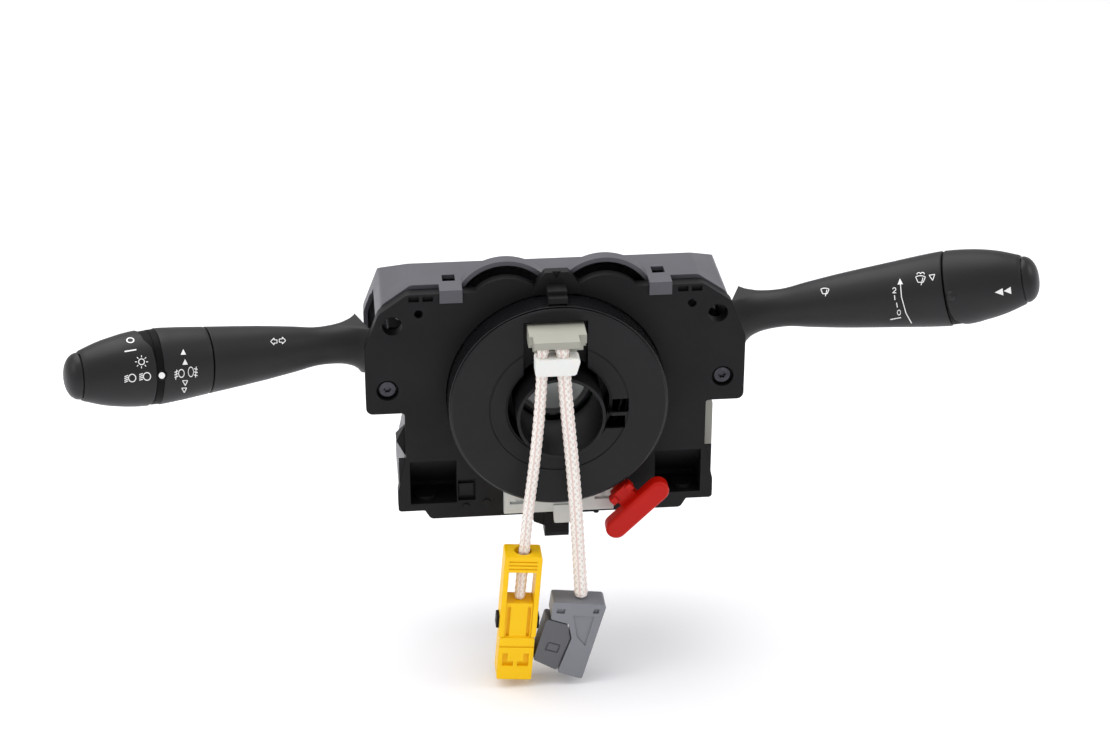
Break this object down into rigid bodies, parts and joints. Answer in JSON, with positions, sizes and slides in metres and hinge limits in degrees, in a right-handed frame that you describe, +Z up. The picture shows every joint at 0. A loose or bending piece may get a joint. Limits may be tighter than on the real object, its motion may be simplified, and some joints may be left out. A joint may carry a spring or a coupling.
{
  "type": "combination stalk switch",
  "caption": "Steering column stalk switch: case round the column bore, coiled-ribbon unit with hanging leads, lighting lever on the left, wiper lever on the right.",
  "frame": {"origin": "on the steering column's axis at the rear mounting plane of the case", "axes": "+Y along the column away from the driver, +X to the driver's right, +Z up"},
  "size_m": [0.4118, 0.0817, 0.1925],
  "materials": {
    "black_housing": "moulded black glass-filled nylon, fine spark texture",
    "cover_grey": "moulded dark grey polyester, satin",
    "rotor_black": "moulded black acetal, satin to glossy",
    "lever_black": "fine-grained black polyamide",
    "natural_grey": "natural light grey polyester",
    "clamp_white": "white nylon",
    "braid_white": "braided white sleeve with pink tracer threads",
    "yellow_plastic": "moulded yellow polyester",
    "connector_grey": "moulded grey polyester",
    "slider_grey": "moulded dark grey polyester",
    "tag_red": "moulded red polypropylene",
    "steel": "zinc-plated steel",
    "tin": "tin-plated copper alloy",
    "board_green": "solder-masked glass epoxy",
    "ribbon_amber": "flat ribbon cable",
    "rubber_black": "silicone rubber"
  },
  "bodies": {
    "housing": {"front_housing": "black_housing", "rear_cover": "cover_grey", "column_ring": "natural_grey", "stator_drum": "rotor_black", "ribbon_coil": "ribbon_amber", "retaining_clip": "natural_grey", "latch_block": "black_housing", "terminal_cover": "natural_grey", "case_screws": "steel", "circuit_board": "board_green", "rear_socket_left": "black_housing", "rear_socket_right": "clamp_white", "socket_pins": "tin", "switch_block_left": "natural_grey", "switch_block_right": "natural_grey"},
    "lock_tag": {"lock_tag": "tag_red"},
    "rotor": {"rotor_disc": "rotor_black", "hub_sleeve": "rotor_black", "lead_plug": "natural_grey", "lead_clamp": "clamp_white", "airbag_lead": "braid_white", "switch_lead": "braid_white", "airbag_connector_frame": "yellow_plastic", "airbag_connector_plug": "yellow_plastic", "airbag_connector_clips": "black_housing", "switch_connector_body": "connector_grey", "switch_connector_slider": "slider_grey"},
    "left_rocker": {"left_carrier": "natural_grey", "left_pivot_pin": "steel"},
    "left_lever": {"left_lever_core": "lever_black", "left_lever_shell": "lever_black", "left_plunger": "steel", "left_contact_pad": "rubber_black"},
    "left_button": {"left_end_button": "lever_black"},
    "right_rocker": {"right_carrier": "natural_grey", "right_pivot_pin": "steel"},
    "right_lever": {"right_lever_core": "lever_black", "right_lever_shell": "lever_black", "right_plunger": "steel", "right_contact_pad": "rubber_black"},
    "right_button": {"right_end_button": "lever_black"},
    "fog_ring": {"fog_ring": "lever_black"},
    "light_ring": {"light_ring": "lever_black"},
    "rear_wiper_ring": {"rear_wiper_ring": "lever_black"}
  },
  "joints": [
    {"name": "rotor_turn", "type": "hinge", "parent": "housing", "child": "rotor", "pos_m": [0, -0.05, 0], "axis": [0, 1, 0], "range_deg": [-720, 720]},
    {"name": "lock_tag_pull", "type": "slide", "parent": "housing", "child": "lock_tag", "axis": [0.6997, 0, -0.7145], "range_m": [0, 0.025]},
    {"name": "left_indicator", "type": "hinge", "parent": "housing", "child": "left_rocker", "pos_m": [-0.066, -0.022, 0.0185], "axis": [0, 1, 0], "range_deg": [-8, 8]},
    {"name": "left_flash", "type": "hinge", "parent": "left_rocker", "child": "left_lever", "pos_m": [-0.066, -0.022, 0.0185], "axis": [0, 0, 1], "range_deg": [0, 6], "stiffness_Nm_per_rad": 3},
    {"name": "fog_ring_turn", "type": "hinge", "parent": "left_lever", "child": "fog_ring", "pos_m": [-0.066, -0.022, 0.0185], "axis": [-0.9369, -0.341, 0.0776], "range_deg": [-18, 18], "stiffness_Nm_per_rad": 0.3},
    {"name": "light_ring_turn", "type": "hinge", "parent": "left_lever", "child": "light_ring", "pos_m": [-0.066, -0.022, 0.0185], "axis": [0.9369, 0.341, -0.0776], "range_deg": [0, 66]},
    {"name": "left_button_press", "type": "slide", "parent": "light_ring", "child": "left_button", "axis": [0.9369, 0.341, -0.0776], "range_m": [0, 0.0015], "stiffness_N_per_m": 800},
    {"name": "right_wiper", "type": "hinge", "parent": "housing", "child": "right_rocker", "pos_m": [0.066, -0.022, 0.0213], "axis": [0, -1, 0], "range_deg": [-5, 12]},
    {"name": "right_wash", "type": "hinge", "parent": "right_rocker", "child": "right_lever", "pos_m": [0.066, -0.022, 0.0213], "axis": [0, 0, -1], "range_deg": [0, 6], "stiffness_Nm_per_rad": 3},
    {"name": "rear_wiper_ring_turn", "type": "hinge", "parent": "right_lever", "child": "rear_wiper_ring", "pos_m": [0.066, -0.022, 0.0213], "axis": [-0.913, 0.3323, -0.2368], "range_deg": [0, 40]},
    {"name": "right_button_press", "type": "slide", "parent": "rear_wiper_ring", "child": "right_button", "axis": [-0.913, 0.3323, -0.2368], "range_m": [0, 0.0015], "stiffness_N_per_m": 800}
  ]
}
